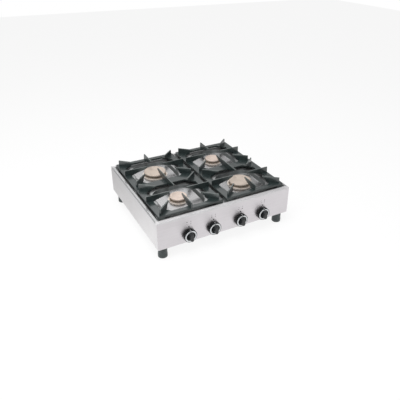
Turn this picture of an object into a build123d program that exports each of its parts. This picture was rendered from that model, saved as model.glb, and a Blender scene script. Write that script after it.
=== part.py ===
"""Countertop gas stove: four open burners under two double cast-iron pan supports.

Millimetres, +Z up, front towards -Y. The origin is on the table, under the centre of the outer box.
"""

import os
from math import atan2, cos, degrees, hypot, pi, radians, sin, tan

from build123d import *

# Casing
body_width = 700.0
body_depth = 620.0
body_height = 143.0
sheet = 1.5
edge_radius = 4.0
rim_drop = 8.0
bend_radius = 2.5
side_flange = 22.0
tray_play = 0.5

# Feet
foot_height = 60.0
foot_radius = 21.5
foot_flare = 1.0
foot_flare_height = 16.0
foot_flare_rise = 6.0
foot_bottom_radius = 3.0
foot_inset = 35.0
foot_bolt_radius = 4.0
foot_bolt_depth = 22.0
bolt_head_radius = 7.0
bolt_head_height = 5.0
bolt_play = 0.2

# Pan supports
grate_width = 320.0
grate_depth = 570.0
grate_gap = 20.0
side_rail = 32.0
end_rail = 25.0
cross_rail = 50.0
rail_height = 9.0
rail_rise = 15.0
rail_edge = 1.5
grate_corner = 5.0
gusset = 40.0
pad_length = 34.0
fin_rise = 42.0
fin_thickness = 6.0
fin_draft = 3.0
fin_edge = 1.0
fin_nose = 4.0
fin_neck_length = 16.0
fin_neck_height = 13.0
fin_root_length = 14.0
mid_fin_tip = 43.0
corner_fin_tip = 110.0
corner_fin_inset = 14.0
fin_sink = 2.0

# Pressed hob sheet
pan_play = 4.0
pan_drop = 3.0
pan_corner = 9.0
well_width = 216.0
well_corner = 62.0
well_drop = 13.0
press_angle = 40.0

# Burners
small_cap_radius = 41.0
large_cap_radius = 56.0
cap_height = 6.0
cap_edge = 1.5
cap_rise = 6.0
cap_lip = 3.0
lip_play = 0.5
ring_inset = 3.0
ring_wall = 8.0
ring_height = 8.0
ring_step = 2.5
ring_step_reach = 1.0
port_width = 2.4
port_depth = 4.5
port_pitch = 11.0
cup_flange = 3.0
cup_flange_reach = 8.0
cup_wall = 4.0
cup_inset = 4.0
cup_depth = 18.0
cup_cone = 12.0
throat_radius = 14.0
throat_wall = 3.0
throat_length = 32.0
throat_mouth = 4.0
sheet_hole_play = 0.5
clamp_screw_radius = 2.0
clamp_screw_head = 4.0
clamp_screw_head_height = 2.2
clamp_screw_length = 8.0
clamp_screw_play = 0.1

# Knobs and valves
knob_drop = 102.0
knob_inner_offset = 72.5
knob_outer_offset = 197.5
knob_gap = 4.5
knob_travel = 4.0
skirt_radius = 35.0
skirt_front_radius = 32.0
skirt_depth = 15.0
skirt_wall = 2.5
trim_outer_radius = 28.5
trim_inner_radius = 22.5
trim_depth = 1.5
trim_proud = 0.8
dish_depth = 3.0
dish_edge = 1.0
dish_wall = 2.5
grip_end_play = 0.5
grip_width = 20.0
grip_rise = 20.0
grip_draft = 7.0
grip_edge = 2.5
pointer_width = 4.0
pointer_rise = 2.0
pointer_root = 3.0
hub_radius = 8.0
spindle_radius = 4.0
spindle_flat = 1.2
spindle_in_knob = 20.0
spindle_end_play = 0.5
spindle_in_plug = 12.0
fit_play = 0.05
panel_hole_radius = 6.5
plug_radius = 8.0
plug_length = 26.0
plug_end_play = 0.3
plug_floor = 6.0
nose_radius = 9.5
nose_length = 8.0
valve_radius = 13.0
valve_front_wall = 9.0
valve_rear_wall = 14.0
saddle_length = 36.0
saddle_width = 18.0

# Gas rail and inlet
rail_tube_radius = 10.0
rail_tube_bore = 8.0
rail_bend = 32.0
rail_overhang = 42.0
inlet_inset = 65.0
saddle_seat = 5.0
strap_width = 10.0
strap_thickness = 2.0
cradle_width = 16.0
cradle_depth = 26.0
cradle_offset = 135.0
cradle_grip = 4.0
end_plug_length = 8.0
end_plug_in = 10.0
inlet_radius = 10.48
inlet_bore = 7.5
inlet_reach = 36.5
inlet_hex = 28.0
inlet_hex_length = 14.0
collar_radius = 12.0
collar_end_play = 2.0
lock_nut_hex = 30.0
lock_nut_height = 6.0
inlet_hole_play = 0.5
thread_chamfer = 1.5

# Jets and supply tubes
tube_radius = 4.0
tube_wall = 1.0
tube_bend = 18.0
tube_lead = 25.0
tube_nut_hex = 14.0
tube_nut_length = 10.0
jet_block_radius = 9.0
jet_block_below = 10.0
jet_block_above = 8.0
jet_inlet_radius = 7.0
jet_inlet_reach = 16.0
jet_hex = 11.0
jet_hex_height = 5.0
jet_nose_radius = 3.5
jet_nose_height = 4.0
bracket_width = 30.0
bracket_depth = 26.0
bracket_foot = 11.0

# Base tray, vents and screws
vent_length = 70.0
vent_width = 7.0
vent_pitch = 15.0
vent_count = 3
rear_vent_length = 60.0
rear_vent_width = 5.0
rear_vent_pitch = 85.0
rear_vent_count = 5
rear_vent_drop = 30.0
casing_screw_radius = 2.0
casing_screw_head = 4.0
casing_screw_head_height = 2.2
casing_screw_length = 7.0
casing_screw_spacing = 220.0

# Heights and places worked out from the sizes above
skirt_front = knob_gap + skirt_depth
dish_front = skirt_front - dish_depth
knob_reach = dish_front + grip_rise
body_shift = (knob_reach - inlet_reach) / 2
front_y = -body_depth / 2 + body_shift
rear_y = body_depth / 2 + body_shift
body_bottom = foot_height
rim_z = foot_height + body_height
panel_top = rim_z - rim_drop
flange_top = body_bottom + sheet
tray_top = flange_top + sheet
pan_floor = rim_z - pan_drop
well_floor = pan_floor - well_drop
rail_top = rim_z + rail_rise
rail_bottom = rail_top - rail_height
fin_top = rim_z + fin_rise
knob_z = rim_z - knob_drop
rail_z = knob_z - valve_radius - rail_tube_radius
foot_flange = foot_inset + foot_radius + foot_flare
inlet_x = body_width / 2 - inlet_inset

grate_x = (grate_gap + grate_width) / 2
opening_width = grate_width - 2 * side_rail
opening_depth = grate_depth / 2 - end_rail - cross_rail / 2
cell_y = (opening_depth + cross_rail) / 2

burners = {
    "front_left": (-grate_x, body_shift - cell_y, small_cap_radius),
    "front_right": (grate_x, body_shift - cell_y, large_cap_radius),
    "rear_left": (-grate_x, body_shift + cell_y, large_cap_radius),
    "rear_right": (grate_x, body_shift + cell_y, small_cap_radius),
}
knobs = {
    "rear_left": -knob_outer_offset,
    "front_left": -knob_inner_offset,
    "front_right": knob_inner_offset,
    "rear_right": knob_outer_offset,
}
burner_spots = [(x, y) for x, y, _ in burners.values()]
screw_spots = [
    (side * (body_width - side_flange) / 2, body_shift + place * casing_screw_spacing / 2)
    for side in (-1, 1)
    for place in (-1, 1)
]
foot_spots = [
    (side * (body_width / 2 - foot_inset), end)
    for side in (-1, 1)
    for end in (front_y + foot_inset, rear_y - foot_inset)
]

os.makedirs("parts", exist_ok=True)


def cut_pressing(lowered):
    """Cut the shallow pan and its four wells into the part being built."""
    spread = tan(radians(press_angle))
    pan_floor_size = (
        2 * grate_width + grate_gap + 2 * pan_play,
        grate_depth + 2 * pan_play,
    )
    with BuildSketch(Plane.XY.offset(rim_z - lowered)) as pan_edge:
        with Locations((0, body_shift)):
            RectangleRounded(
                pan_floor_size[0] + 2 * pan_drop * spread,
                pan_floor_size[1] + 2 * pan_drop * spread,
                pan_corner,
            )
    extrude(pan_edge.sketch, amount=-pan_drop, taper=press_angle, mode=Mode.SUBTRACT)
    with BuildSketch(Plane.XY.offset(pan_floor - lowered)) as well_edges:
        with Locations(*burner_spots):
            RectangleRounded(well_width, well_width, well_corner)
    extrude(well_edges.sketch, amount=-well_drop, taper=press_angle, mode=Mode.SUBTRACT)


def bent_panel(points, length, plane):
    """Add a sheet bent along a line of points, running along the plane's normal."""
    with BuildSketch(plane) as bent_strip:
        with BuildLine():
            FilletPolyline(*points, radius=bend_radius)
            offset(amount=sheet, side=Side.LEFT)
        make_face()
    extrude(bent_strip.sketch, amount=length / 2, both=True)


def finish_flange(face_y, inwards):
    """Notch a panel's bottom flange for the side panels and drill it for the feet."""
    with BuildSketch(Plane.XY.offset(body_bottom)) as cuts:
        with Locations((0, face_y + inwards * (sheet + foot_flange / 2))):
            with GridLocations(body_width - sheet, 0, 2, 1):
                Rectangle(sheet, foot_flange)
        with Locations(*[spot for spot in foot_spots if spot[1] * inwards < 0]):
            Circle(foot_bolt_radius + bolt_play)
    extrude(cuts.sketch, amount=bend_radius, mode=Mode.SUBTRACT)


def knob_section(knob_x):
    """Plane through a knob's axis: x is the radius, y runs into the stove from the panel's face."""
    return Plane(origin=(knob_x, front_y, knob_z))


def knob_face(knob_x, outwards):
    """Plane parallel to the panel, facing the user, the given distance in front of it."""
    return Plane(
        origin=(knob_x, front_y - outwards, knob_z), x_dir=(1, 0, 0), z_dir=(0, -1, 0)
    )


def knob_axis(knob_x):
    """Axis that a knob turns about, pointing at the user."""
    return Axis((knob_x, front_y, knob_z), (0, -1, 0))


def burner_section(x, y):
    """Upright plane through a burner's axis: x is the radius and y the height above the rim."""
    return Plane(origin=(x, y, rim_z), x_dir=(1, 0, 0), z_dir=(0, -1, 0))


# Hob top
with BuildPart() as hob_underside:
    with BuildSketch(Plane.XY.offset(rim_z - sheet)):
        with Locations((0, body_shift)):
            Rectangle(body_width - 2 * sheet, body_depth - 2 * sheet)
    extrude(amount=-(well_drop + pan_drop + 2 * sheet))
    fillet(hob_underside.faces().sort_by(Axis.Z)[-1].edges(), edge_radius - sheet)
    cut_pressing(sheet)

with BuildPart() as hob_top:
    with BuildSketch(Plane.XY.offset(rim_z)):
        with Locations((0, body_shift)):
            Rectangle(body_width, body_depth)
    extrude(amount=-(well_drop + pan_drop + 2 * sheet))
    fillet(hob_top.faces().sort_by(Axis.Z)[-1].edges(), edge_radius)
    cut_pressing(0)
    add(hob_underside.part, mode=Mode.SUBTRACT)
    with BuildSketch(Plane.XY.offset(panel_top)):
        with Locations((0, body_shift)):
            Rectangle(2 * body_width, 2 * body_depth)
            Rectangle(
                body_width - 2 * sheet,
                body_depth - 2 * sheet,
                mode=Mode.SUBTRACT,
            )
    extrude(amount=-body_height, mode=Mode.SUBTRACT)
    for x, y, cap_radius in burners.values():
        cup_radius = cap_radius - cup_inset
        with Locations((x, y, well_floor)):
            Hole(cup_radius + sheet_hole_play, depth=2 * sheet)
        screw_circle = cap_radius + cup_flange_reach / 2
        with Locations((x - screw_circle, y, well_floor), (x + screw_circle, y, well_floor)):
            Hole(clamp_screw_radius + clamp_screw_play, depth=2 * sheet)
hob_top.part.label = "hob_top"
export_step(hob_top.part, "parts/hob_top.step")

# Front panel with the spindle holes
section_x = Plane(origin=(0, 0, 0), x_dir=(0, 1, 0), z_dir=(1, 0, 0))
section_y = Plane(origin=(0, 0, 0), x_dir=(1, 0, 0), z_dir=(0, -1, 0))
with BuildPart() as front_panel:
    bent_panel(
        [(front_y, panel_top), (front_y, body_bottom), (front_y + foot_flange, body_bottom)],
        body_width,
        section_x,
    )
    with Locations(*[knob_face(x, 0) for x in knobs.values()]):
        Hole(panel_hole_radius, depth=sheet)
    finish_flange(front_y, 1)
front_panel.part.label = "front_panel"
export_step(front_panel.part, "parts/front_panel.step")

# Rear panel with the vent slots and the hole for the gas inlet
with BuildPart() as rear_panel:
    bent_panel(
        [(rear_y - foot_flange, body_bottom), (rear_y, body_bottom), (rear_y, panel_top)],
        body_width,
        section_x,
    )
    with BuildSketch(Plane(origin=(0, rear_y, 0), x_dir=(1, 0, 0), z_dir=(0, -1, 0))):
        with Locations((0, panel_top - rear_vent_drop)):
            with GridLocations(rear_vent_pitch, 0, rear_vent_count, 1):
                SlotOverall(rear_vent_length, rear_vent_width)
        with Locations((inlet_x, rail_z)):
            Circle(collar_radius + inlet_hole_play)
    extrude(amount=sheet, mode=Mode.SUBTRACT)
    finish_flange(rear_y, -1)
rear_panel.part.label = "rear_panel"
export_step(rear_panel.part, "parts/rear_panel.step")

# Side panels, held between the front and the rear one
side_length = body_depth - 2 * sheet
flange_length = body_depth - 2 * foot_flange - 2 * tray_play
for side, name in ((-1, "left_side_panel"), (1, "right_side_panel")):
    with BuildPart() as side_panel:
        outer = side * body_width / 2
        inner = side * (body_width / 2 - side_flange)
        line = [(outer, panel_top), (outer, body_bottom), (inner, body_bottom)]
        if side > 0:
            line.reverse()
        bent_panel(line, side_length, section_y.offset(-body_shift))
        with BuildSketch(Plane.XY.offset(body_bottom)):
            with Locations((inner, body_shift)):
                end_step = (side_length + flange_length) / 4
                with GridLocations(0, 2 * end_step, 1, 2):
                    Rectangle(
                        2 * (side_flange - sheet),
                        (side_length - flange_length) / 2,
                    )
        extrude(amount=bend_radius, mode=Mode.SUBTRACT)
        with BuildSketch(Plane.XY.offset(body_bottom)):
            with Locations(*[spot for spot in screw_spots if spot[0] * side > 0]):
                Circle(casing_screw_radius + bolt_play)
        extrude(amount=sheet, mode=Mode.SUBTRACT)
    side_panel.part.label = name
    export_step(side_panel.part, f"parts/{name}.step")

# Base tray with the air slots, lying on the panels' flanges
with BuildPart() as base_tray:
    with BuildSketch(Plane.XY.offset(flange_top)):
        with Locations((0, body_shift)):
            Rectangle(
                body_width - 2 * bend_radius - 2 * tray_play,
                body_depth - 2 * bend_radius - 2 * tray_play,
            )
        with Locations(*burner_spots):
            with Locations((0, bracket_depth + vent_pitch), (0, -bracket_depth - vent_pitch)):
                with GridLocations(0, vent_pitch, 1, vent_count):
                    SlotOverall(vent_length, vent_width, mode=Mode.SUBTRACT)
        with Locations(*foot_spots):
            Circle(foot_bolt_radius + bolt_play, mode=Mode.SUBTRACT)
        with Locations(*screw_spots):
            Circle(casing_screw_radius + bolt_play, mode=Mode.SUBTRACT)
    extrude(amount=sheet)
base_tray.part.label = "base_tray"
export_step(base_tray.part, "parts/base_tray.step")

# Feet, moulded with a flared and rounded lower end
with BuildPart() as feet:
    for x, y in foot_spots:
        with BuildSketch(Plane(origin=(x, y, 0), x_dir=(1, 0, 0), z_dir=(0, -1, 0))):
            with BuildLine():
                Polyline(
                    (0, foot_height),
                    (foot_radius, foot_height),
                    (foot_radius, foot_flare_height + foot_flare_rise),
                    (foot_radius + foot_flare, foot_flare_height),
                    (foot_radius + foot_flare, foot_bottom_radius),
                )
                JernArc(
                    start=(foot_radius + foot_flare, foot_bottom_radius),
                    tangent=(0, -1),
                    radius=foot_bottom_radius,
                    arc_size=-90,
                )
                Polyline(
                    (foot_radius + foot_flare - foot_bottom_radius, 0), (0, 0), (0, foot_height)
                )
            make_face()
        revolve(axis=Axis((x, y, 0), (0, 0, 1)))
        with BuildSketch(Plane.XY.offset(foot_height)):
            with Locations((x, y)):
                Circle(foot_bolt_radius + bolt_play)
        extrude(amount=-foot_bolt_depth, mode=Mode.SUBTRACT)
feet.part.label = "feet"
export_step(feet.part, "parts/feet.step")

# Foot bolts, through the tray and the flange into each foot
with BuildPart() as foot_bolts:
    with BuildSketch(Plane.XY.offset(foot_height - foot_bolt_depth + bolt_play)):
        with Locations(*foot_spots):
            Circle(foot_bolt_radius)
    extrude(amount=foot_bolt_depth - bolt_play + tray_top - foot_height)
    with BuildSketch(Plane.XY.offset(tray_top)):
        with Locations(*foot_spots):
            RegularPolygon(bolt_head_radius, 6)
    extrude(amount=bolt_head_height)
foot_bolts.part.label = "foot_bolts"
export_step(foot_bolts.part, "parts/foot_bolts.step")

# Casing screws, from below through the side flanges into the tray
with BuildPart() as casing_screws:
    with BuildSketch(Plane.XY.offset(body_bottom)):
        with Locations(*screw_spots):
            Circle(casing_screw_radius)
    extrude(amount=casing_screw_length)
    with BuildSketch(Plane.XY.offset(body_bottom)):
        with Locations(*screw_spots):
            Circle(casing_screw_head)
    extrude(amount=-casing_screw_head_height)
casing_screws.part.label = "casing_screws"
export_step(casing_screws.part, "parts/casing_screws.step")

# Pan supports: a frame with two cells, and eight fins that reach in over each cell
gusset_reach = (opening_width + opening_depth) / 2 - gusset
corner_x = grate_width / 2 - corner_fin_inset
corner_y = opening_depth / 2 + end_rail - corner_fin_inset
corner_heading = degrees(atan2(corner_y, corner_x))
corner_out = hypot(corner_x, corner_y)
corner_root = gusset_reach * corner_out / (corner_x + corner_y)


def add_fin(x, y, heading, tip, root, out):
    """Add one fin over a burner: its tip, the frame's inner edge and its outer end are distances from the burner."""
    seat = rail_top - fin_sink
    base = rail_bottom + fin_sink
    widening = 2 * (fin_top - base) * tan(radians(fin_draft))
    along = Vector(cos(radians(heading)), sin(radians(heading)), 0)
    across = along.cross(Vector(0, 0, 1))
    with BuildSketch(Plane(origin=(x, y, 0), x_dir=-across, z_dir=along)) as section:
        with BuildLine():
            Polyline(
                (-fin_thickness / 2 + fin_edge, fin_top),
                (fin_thickness / 2 - fin_edge, fin_top),
                (fin_thickness / 2, fin_top - fin_edge),
                ((fin_thickness + widening) / 2, base),
                (-(fin_thickness + widening) / 2, base),
                (-fin_thickness / 2, fin_top - fin_edge),
                close=True,
            )
        make_face()
    with BuildSketch(Plane(origin=(x, y, 0), x_dir=along, z_dir=across)) as outline:
        with BuildLine():
            Polyline(
                (out, seat),
                (out, fin_top),
                (tip, fin_top),
                (tip, fin_top - fin_nose),
                (tip + fin_neck_length, fin_top - fin_neck_height),
                (root - fin_root_length, rail_top),
                (root, base),
                (root + fin_sink, base),
                (root + fin_sink, seat),
                close=True,
            )
        make_face()
    bar = extrude(section.sketch, amount=out, mode=Mode.PRIVATE)
    blade = extrude(outline.sketch, amount=2 * fin_thickness, both=True, mode=Mode.PRIVATE)
    add(bar & blade)


for side, name in ((-1, "pan_support_left"), (1, "pan_support_right")):
    grate_centre = side * grate_x
    cells = [(grate_centre, body_shift - cell_y), (grate_centre, body_shift + cell_y)]
    with BuildPart() as pan_support:
        with BuildSketch(Plane.XY.offset(rail_bottom)):
            with Locations((grate_centre, body_shift)):
                RectangleRounded(grate_width, grate_depth, grate_corner)
            for cell in cells:
                with BuildSketch(mode=Mode.SUBTRACT) as opening:
                    with Locations(cell):
                        Rectangle(opening_width, opening_depth)
                    chamfer(opening.vertices(), gusset)
        extrude(amount=rail_height)
        fillet(pan_support.faces().sort_by(Axis.Z)[-1].edges(), rail_edge)
        with BuildSketch(Plane.XY.offset(pan_floor)):
            with Locations((grate_centre, body_shift)):
                with GridLocations(grate_width - side_rail, grate_depth - pad_length, 2, 2):
                    Rectangle(side_rail, pad_length)
                with GridLocations(grate_width - side_rail, 0, 2, 1):
                    Rectangle(side_rail, pad_length)
        extrude(amount=rail_bottom - pan_floor)
        for x, y in cells:
            inwards = 90 if y < body_shift else -90
            for heading in (0, 180):
                add_fin(x, y, heading, mid_fin_tip, opening_width / 2, grate_width / 2)
            end_out = opening_depth / 2 + end_rail
            add_fin(x, y, -inwards, mid_fin_tip, opening_depth / 2, end_out)
            add_fin(x, y, inwards, mid_fin_tip, opening_depth / 2, cell_y + fin_sink)
            for heading in (
                corner_heading,
                180 - corner_heading,
                180 + corner_heading,
                -corner_heading,
            ):
                add_fin(x, y, heading, corner_fin_tip, corner_root, corner_out)
    pan_support.part.label = name
    export_step(pan_support.part, f"parts/{name}.step")

# Burners, from the cup in the well up to the cap
cup_seat = well_floor - rim_z
cap_bottom = cap_rise - cap_height
ring_bottom = cap_bottom - ring_height
for place, (x, y, cap_radius) in burners.items():
    upright = Axis((x, y, 0), (0, 0, 1))
    ring_outer = cap_radius - ring_inset
    ring_inner = ring_outer - ring_wall
    cup_radius = cap_radius - cup_inset
    cup_bottom = cup_seat - cup_depth
    cone_bottom = cup_bottom - cup_cone
    throat_bottom = cone_bottom - throat_length

    with BuildPart() as burner_cup:
        with BuildSketch(burner_section(x, y)):
            with BuildLine():
                Polyline(
                    (ring_inner, ring_bottom),
                    (ring_outer, ring_bottom),
                    (ring_outer, cup_seat + cup_flange),
                    (cap_radius + cup_flange_reach, cup_seat + cup_flange),
                    (cap_radius + cup_flange_reach, cup_seat),
                    (cup_radius, cup_seat),
                    (cup_radius, cup_bottom),
                    (throat_radius + throat_wall, cone_bottom),
                    (throat_radius + throat_wall, throat_bottom + throat_mouth),
                    (throat_radius + throat_wall + throat_mouth, throat_bottom),
                    (throat_radius + throat_mouth, throat_bottom),
                    (throat_radius, throat_bottom + throat_mouth),
                    (throat_radius, cone_bottom + throat_wall),
                    (cup_radius - cup_wall, cup_bottom + throat_wall),
                    (cup_radius - cup_wall, ring_bottom - cup_wall),
                    (ring_inner, ring_bottom - cup_wall),
                    close=True,
                )
            make_face()
        revolve(axis=upright)
        screw_circle = cap_radius + cup_flange_reach / 2
        with BuildSketch(Plane.XY.offset(well_floor)):
            with Locations((x - screw_circle, y), (x + screw_circle, y)):
                Circle(clamp_screw_radius + clamp_screw_play)
        extrude(amount=cup_flange, mode=Mode.SUBTRACT)
    burner_cup.part.label = f"burner_cup_{place}"
    export_step(burner_cup.part, f"parts/burner_cup_{place}.step")

    with BuildPart() as flame_ring:
        with BuildSketch(burner_section(x, y)):
            with BuildLine():
                Polyline(
                    (ring_inner, ring_bottom),
                    (cap_radius + ring_step_reach, ring_bottom),
                    (cap_radius + ring_step_reach, ring_bottom + ring_step),
                    (ring_outer, ring_bottom + ring_step),
                    (ring_outer, cap_bottom),
                    (ring_inner, cap_bottom),
                    close=True,
                )
            make_face()
        revolve(axis=upright)
        port_count = round(2 * pi * ring_outer / port_pitch)
        with BuildSketch(Plane.XY.offset(rim_z + cap_bottom)):
            with Locations((x, y)):
                with PolarLocations(ring_outer, port_count):
                    Rectangle(3 * ring_wall, port_width)
        extrude(amount=-port_depth, mode=Mode.SUBTRACT)
    flame_ring.part.label = f"flame_ring_{place}"
    export_step(flame_ring.part, f"parts/flame_ring_{place}.step")

    with BuildPart() as burner_cap:
        lip_outer = ring_inner - lip_play
        with BuildSketch(burner_section(x, y)):
            with BuildLine():
                Polyline(
                    (0, cap_rise),
                    (cap_radius - cap_edge, cap_rise),
                    (cap_radius, cap_rise - cap_edge),
                    (cap_radius, cap_bottom),
                    (lip_outer, cap_bottom),
                    (lip_outer, cap_bottom - cap_lip),
                    (lip_outer - cap_lip, cap_bottom - cap_lip),
                    (lip_outer - cap_lip, cap_bottom),
                    (0, cap_bottom),
                    close=True,
                )
            make_face()
        revolve(axis=upright)
    burner_cap.part.label = f"burner_cap_{place}"
    export_step(burner_cap.part, f"parts/burner_cap_{place}.step")

# Clamp screws that hold each cup's flange down on the hob
with BuildPart() as clamp_screws:
    screw_spots_on_cups = [
        (x + side * (cap_radius + cup_flange_reach / 2), y)
        for x, y, cap_radius in burners.values()
        for side in (-1, 1)
    ]
    with BuildSketch(Plane.XY.offset(well_floor + cup_flange)):
        with Locations(*screw_spots_on_cups):
            Circle(clamp_screw_head)
    extrude(amount=clamp_screw_head_height)
    with BuildSketch(Plane.XY.offset(well_floor + cup_flange)):
        with Locations(*screw_spots_on_cups):
            Circle(clamp_screw_radius)
    extrude(amount=-clamp_screw_length)
clamp_screws.part.label = "clamp_screws"
export_step(clamp_screws.part, "parts/clamp_screws.step")

# Knobs with their trim rings, spindles and valves, one set for each burner
cavity_front = nose_length + valve_front_wall
plug_front = cavity_front + plug_end_play
cavity_back = plug_front + plug_length + plug_end_play
valve_back = cavity_back + valve_rear_wall
saddle_centre = (cavity_front + cavity_back) / 2
saddle_depth = valve_radius + rail_tube_radius - saddle_seat
spindle_front = knob_gap + spindle_in_knob - spindle_end_play
spindle_end = plug_front + spindle_in_plug
rail_y = front_y + saddle_centre


def spindle_section(plane, play):
    """Sketch the spindle's round section with its flat, enlarged by a clearance."""
    with BuildSketch(plane) as section:
        Circle(spindle_radius + play)
        with Locations((0, 2 * spindle_radius - spindle_flat + play)):
            Rectangle(4 * spindle_radius, 2 * spindle_radius, mode=Mode.SUBTRACT)
    return section.sketch


for place, knob_x in knobs.items():
    section = knob_section(knob_x)
    turning = knob_axis(knob_x)

    with BuildPart() as knob:
        with BuildSketch(section):
            with BuildLine():
                Polyline(
                    (0, -dish_front),
                    (trim_inner_radius - dish_edge, -dish_front),
                    (trim_inner_radius, -(skirt_front - trim_depth)),
                    (trim_outer_radius, -(skirt_front - trim_depth)),
                    (trim_outer_radius, -skirt_front),
                    (skirt_front_radius, -skirt_front),
                    (skirt_radius, -knob_gap),
                    (skirt_radius - skirt_wall, -knob_gap),
                    (skirt_front_radius - skirt_wall, -(dish_front - dish_wall)),
                    (hub_radius, -(dish_front - dish_wall)),
                    (hub_radius, -knob_gap),
                    (0, -knob_gap),
                    close=True,
                )
            make_face()
        revolve(axis=turning)
        with BuildSketch(knob_face(knob_x, dish_front - dish_wall / 2)):
            SlotOverall(2 * (trim_inner_radius - grip_end_play), grip_width, rotation=90)
        extrude(amount=grip_rise + dish_wall / 2, taper=grip_draft)
        fillet(knob.faces().sort_by(Axis.Y)[0].edges(), grip_edge)
        with BuildSketch(knob_face(knob_x, skirt_front - trim_depth)):
            pointer_inner = trim_inner_radius - pointer_root
            with Locations((0, (pointer_inner + skirt_front_radius) / 2)):
                Rectangle(pointer_width, skirt_front_radius - pointer_inner)
        extrude(amount=trim_depth + pointer_rise)
        bore = spindle_section(knob_face(knob_x, knob_gap), fit_play)
        extrude(bore, amount=spindle_in_knob, mode=Mode.SUBTRACT)
    knob.part.label = f"knob_{place}"
    export_step(knob.part, f"parts/knob_{place}.step")

    with BuildPart() as trim_ring:
        with BuildSketch(knob_face(knob_x, skirt_front - trim_depth)):
            Circle(trim_outer_radius)
            Circle(trim_inner_radius, mode=Mode.SUBTRACT)
            with Locations((0, trim_outer_radius)):
                Rectangle(
                    pointer_width + 2 * fit_play,
                    2 * (trim_outer_radius - trim_inner_radius + dish_edge),
                    mode=Mode.SUBTRACT,
                )
        extrude(amount=trim_depth + trim_proud)
    trim_ring.part.label = f"trim_ring_{place}"
    export_step(trim_ring.part, f"parts/trim_ring_{place}.step")

    with BuildPart() as spindle:
        shank = spindle_section(knob_face(knob_x, spindle_front), 0)
        extrude(shank, amount=-(spindle_front + spindle_end))
    spindle.part.label = f"valve_spindle_{place}"
    export_step(spindle.part, f"parts/valve_spindle_{place}.step")

    with BuildPart() as plug:
        with BuildSketch(knob_face(knob_x, -plug_front)):
            Circle(plug_radius)
        extrude(amount=-plug_length)
        bore = spindle_section(knob_face(knob_x, -plug_front), fit_play)
        extrude(bore, amount=-(plug_length - plug_floor), mode=Mode.SUBTRACT)
    plug.part.label = f"valve_plug_{place}"
    export_step(plug.part, f"parts/valve_plug_{place}.step")

    with BuildPart() as valve:
        with BuildSketch(section):
            with BuildLine():
                Polyline(
                    (0, sheet),
                    (nose_radius, sheet),
                    (nose_radius, nose_length),
                    (valve_radius, nose_length),
                    (valve_radius, valve_back),
                    (0, valve_back),
                    close=True,
                )
            make_face()
        revolve(axis=turning)
        with BuildSketch(Plane.XY.offset(knob_z - saddle_depth)):
            with Locations((knob_x, rail_y)):
                Rectangle(saddle_width, saddle_length)
        extrude(amount=saddle_depth)
        with BuildSketch(section):
            with BuildLine():
                Polyline(
                    (0, sheet),
                    (spindle_radius + fit_play, sheet),
                    (spindle_radius + fit_play, cavity_front),
                    (plug_radius + fit_play, cavity_front),
                    (plug_radius + fit_play, cavity_back),
                    (0, cavity_back),
                    close=True,
                )
            make_face()
        revolve(axis=turning, mode=Mode.SUBTRACT)
        with BuildSketch(section_x.offset(knob_x)):
            with Locations((rail_y, rail_z)):
                Circle(rail_tube_radius + fit_play)
        extrude(amount=saddle_width, both=True, mode=Mode.SUBTRACT)
    valve.part.label = f"gas_valve_{place}"
    export_step(valve.part, f"parts/gas_valve_{place}.step")

# Gas rail: a tube under the valves that bends back to the inlet
rail_left = -(knob_outer_offset + rail_overhang)
rail_end = rear_y - sheet - inlet_hex_length
with BuildPart() as gas_rail:
    with BuildLine():
        FilletPolyline(
            (rail_left, rail_y, rail_z),
            (inlet_x, rail_y, rail_z),
            (inlet_x, rail_end, rail_z),
            radius=rail_bend,
        )
    with BuildSketch(section_x.offset(rail_left)):
        with Locations((rail_y, rail_z)):
            Circle(rail_tube_radius)
            Circle(rail_tube_bore, mode=Mode.SUBTRACT)
    sweep()
gas_rail.part.label = "gas_rail"
export_step(gas_rail.part, "parts/gas_rail.step")

with BuildPart() as rail_end_plug:
    with BuildSketch(section_x.offset(rail_left)):
        with Locations((rail_y, rail_z)):
            Circle(rail_tube_radius)
    extrude(amount=-end_plug_length)
    with BuildSketch(section_x.offset(rail_left)):
        with Locations((rail_y, rail_z)):
            Circle(rail_tube_bore - fit_play)
    extrude(amount=end_plug_in)
rail_end_plug.part.label = "rail_end_plug"
export_step(rail_end_plug.part, "parts/rail_end_plug.step")

# Straps that hold the rail up into each valve's saddle
strap_radius = rail_tube_radius + fit_play + strap_thickness
with BuildPart() as rail_straps:
    for knob_x in knobs.values():
        with BuildSketch(section_x.offset(knob_x)):
            with Locations((rail_y, rail_z)):
                Circle(strap_radius)
                with Locations((0, saddle_seat - strap_thickness / 2)):
                    Rectangle(saddle_length, strap_thickness)
                Circle(rail_tube_radius + fit_play, mode=Mode.SUBTRACT)
                with Locations((0, saddle_seat + strap_radius)):
                    Rectangle(saddle_length, 2 * strap_radius, mode=Mode.SUBTRACT)
        extrude(amount=strap_width / 2, both=True)
rail_straps.part.label = "rail_straps"
export_step(rail_straps.part, "parts/rail_straps.step")

# Cradles that carry the rail on the base tray
cradle_top = rail_z - rail_tube_radius + cradle_grip
with BuildPart() as rail_cradles:
    for side in (-1, 1):
        with BuildSketch(section_x.offset(side * cradle_offset)):
            with Locations((rail_y, (tray_top + cradle_top) / 2)):
                Rectangle(cradle_depth, cradle_top - tray_top)
            with Locations((rail_y, rail_z)):
                Circle(rail_tube_radius + fit_play, mode=Mode.SUBTRACT)
        extrude(amount=cradle_width / 2, both=True)
rail_cradles.part.label = "rail_cradles"
export_step(rail_cradles.part, "parts/rail_cradles.step")

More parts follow.
